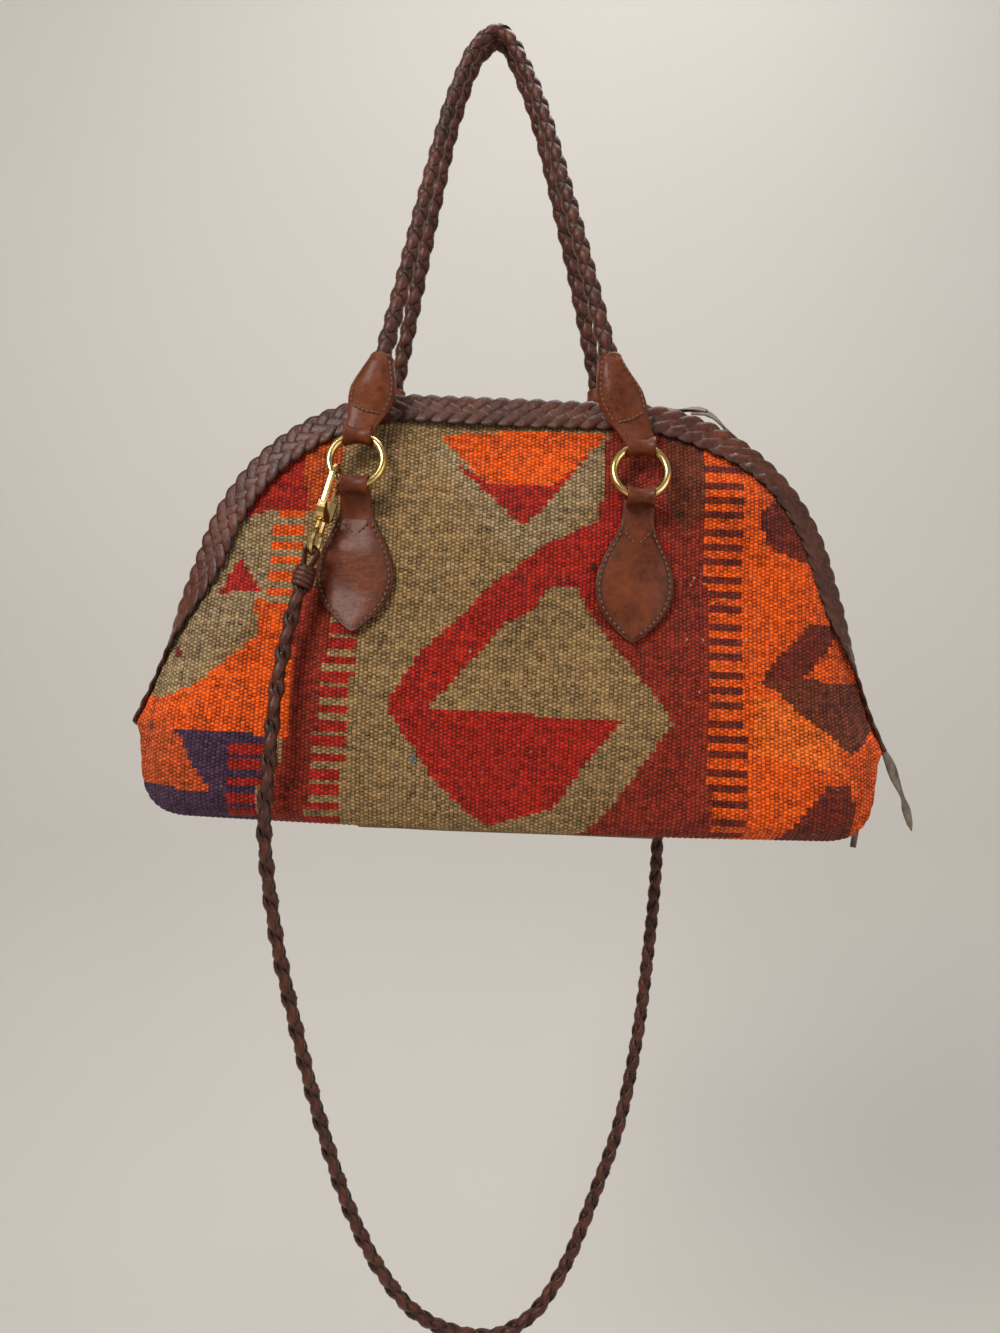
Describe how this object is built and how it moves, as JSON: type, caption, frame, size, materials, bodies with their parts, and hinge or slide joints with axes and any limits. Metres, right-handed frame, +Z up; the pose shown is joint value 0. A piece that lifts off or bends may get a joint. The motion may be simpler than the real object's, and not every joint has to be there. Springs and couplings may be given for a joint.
{
  "type": "shoulder bag",
  "caption": "Dome-topped woven wool shoulder bag with braided leather trim and handles on brass rings, a two-way top zip and a clip-on braided strap.",
  "frame": {"origin": "the point under the bends of both handles, where a hook or a peg holds the bag", "axes": "+X to the bag's right as its front is seen, -Y out of its front, +Z up; the bag hangs about 2 degrees lower on its right"},
  "size_m": [0.4478, 0.1443, 0.7696],
  "materials": {
    "kilim_wool": "matte",
    "lining_cloth": "matte",
    "zip_tape": "matte",
    "zip_coil": "satin",
    "braided_leather": "satin",
    "tab_leather": "satin",
    "thong_suede": "matte",
    "brass_fittings": "gloss",
    "spring_steel": "satin"
  },
  "bodies": {
    "root": {"kilim_body": "kilim_wool", "lining": "lining_cloth", "zip_tape_front": "zip_tape", "zip_tape_back": "zip_tape", "zip_coil_front": "zip_coil", "zip_coil_back": "zip_coil", "front_braid_trim": "braided_leather", "back_braid_trim": "braided_leather", "zip_end_stop_left": "brass_fittings", "zip_end_stop_right": "brass_fittings", "front_left_lower_tab": "tab_leather", "front_right_lower_tab": "tab_leather", "back_left_lower_tab": "tab_leather", "back_right_lower_tab": "tab_leather", "front_hook_eye": "brass_fittings", "front_strap_end": "braided_leather", "back_hook_eye": "brass_fittings", "back_strap_end": "braided_leather", "shoulder_strap": "braided_leather"},
    "front_handle_set": {"front_handle": "braided_leather", "front_left_handle_tab": "tab_leather", "front_right_handle_tab": "tab_leather"},
    "front_left_ring_turning": {"front_left_ring": "brass_fittings"},
    "front_right_ring_turning": {"front_right_ring": "brass_fittings"},
    "back_handle_set": {"back_handle": "braided_leather", "back_left_handle_tab": "tab_leather", "back_right_handle_tab": "tab_leather"},
    "back_left_ring_turning": {"back_left_ring": "brass_fittings"},
    "back_right_ring_turning": {"back_right_ring": "brass_fittings"},
    "upper_slider": {"zip_slider_upper": "brass_fittings"},
    "upper_pull": {"zip_pull_upper": "brass_fittings", "zip_thong_upper": "thong_suede"},
    "lower_slider": {"zip_slider_lower": "brass_fittings"},
    "lower_pull": {"zip_pull_lower": "brass_fittings", "zip_thong_lower": "thong_suede"},
    "front_snap_hook": {"front_hook": "brass_fittings", "front_hook_spring": "spring_steel"},
    "front_trigger": {"front_hook_bolt": "brass_fittings"},
    "back_snap_hook": {"back_hook": "brass_fittings", "back_hook_spring": "spring_steel"},
    "back_trigger": {"back_hook_bolt": "brass_fittings"}
  },
  "joints": [
    {"name": "front_handle_swing", "type": "hinge", "parent": "root", "child": "front_handle_set", "pos_m": [-0.00144, -0.03825, -0.23941], "axis": [0.9992, 0, -0.0401], "range_deg": [0, 78]},
    {"name": "front_left_ring_spin", "type": "hinge", "parent": "root", "child": "front_left_ring_turning", "pos_m": [-0.07894, -0.042, -0.25031], "axis": [0.0104, -0.9659, 0.2586], "continuous": true},
    {"name": "front_right_ring_spin", "type": "hinge", "parent": "root", "child": "front_right_ring_turning", "pos_m": [0.07494, -0.042, -0.25649], "axis": [0.0104, -0.9659, 0.2586], "continuous": true},
    {"name": "back_handle_swing", "type": "hinge", "parent": "root", "child": "back_handle_set", "pos_m": [-0.00144, 0.03825, -0.23941], "axis": [0.9992, 0, -0.0401], "range_deg": [-78, 0]},
    {"name": "back_left_ring_spin", "type": "hinge", "parent": "root", "child": "back_left_ring_turning", "pos_m": [-0.07894, 0.042, -0.25031], "axis": [0.0104, 0.9659, 0.2586], "continuous": true},
    {"name": "back_right_ring_spin", "type": "hinge", "parent": "root", "child": "back_right_ring_turning", "pos_m": [0.07494, 0.042, -0.25649], "axis": [0.0104, 0.9659, 0.2586], "continuous": true},
    {"name": "upper_slider_slide", "type": "slide", "parent": "root", "child": "upper_slider", "axis": [0.9943, 0, -0.1066], "range_m": [-0.128, 0], "deforming": ["zip_tape_front", "zip_tape_back", "zip_coil_front", "zip_coil_back", "zip_thong_upper"]},
    {"name": "upper_pull_flip", "type": "hinge", "parent": "upper_slider", "child": "upper_pull", "pos_m": [0.07992, 0, -0.21325], "axis": [0, 1, 0], "range_deg": [-110, 0]},
    {"name": "lower_slider_slide", "type": "slide", "parent": "root", "child": "lower_slider", "axis": [-0.2706, 0, 0.9627], "range_m": [0, 0.075], "deforming": ["zip_tape_front", "zip_tape_back", "zip_coil_front", "zip_coil_back", "zip_thong_lower"]},
    {"name": "lower_pull_flip", "type": "hinge", "parent": "lower_slider", "child": "lower_pull", "pos_m": [0.21123, 0, -0.39325], "axis": [0, -1, 0], "range_deg": [0, 80]},
    {"name": "front_hook_swivel", "type": "hinge", "parent": "root", "child": "front_snap_hook", "pos_m": [-0.09764, -0.04849, -0.28781], "axis": [0.2742, 0.1304, 0.9528], "range_deg": [-8, 12]},
    {"name": "front_trigger_slide", "type": "slide", "parent": "front_snap_hook", "child": "front_trigger", "axis": [-0.2742, -0.1304, -0.9528], "range_m": [0, 0.005], "stiffness_N_per_m": 150, "springref_m": -0.004, "deforming": ["front_hook_spring"]},
    {"name": "back_hook_swivel", "type": "hinge", "parent": "root", "child": "back_snap_hook", "pos_m": [0.09057, 0.04849, -0.29537], "axis": [-0.1969, -0.1304, 0.9717], "range_deg": [-8, 12]},
    {"name": "back_trigger_slide", "type": "slide", "parent": "back_snap_hook", "child": "back_trigger", "axis": [0.1969, 0.1304, -0.9717], "range_m": [0, 0.005], "stiffness_N_per_m": 150, "springref_m": -0.004, "deforming": ["back_hook_spring"]}
  ]
}
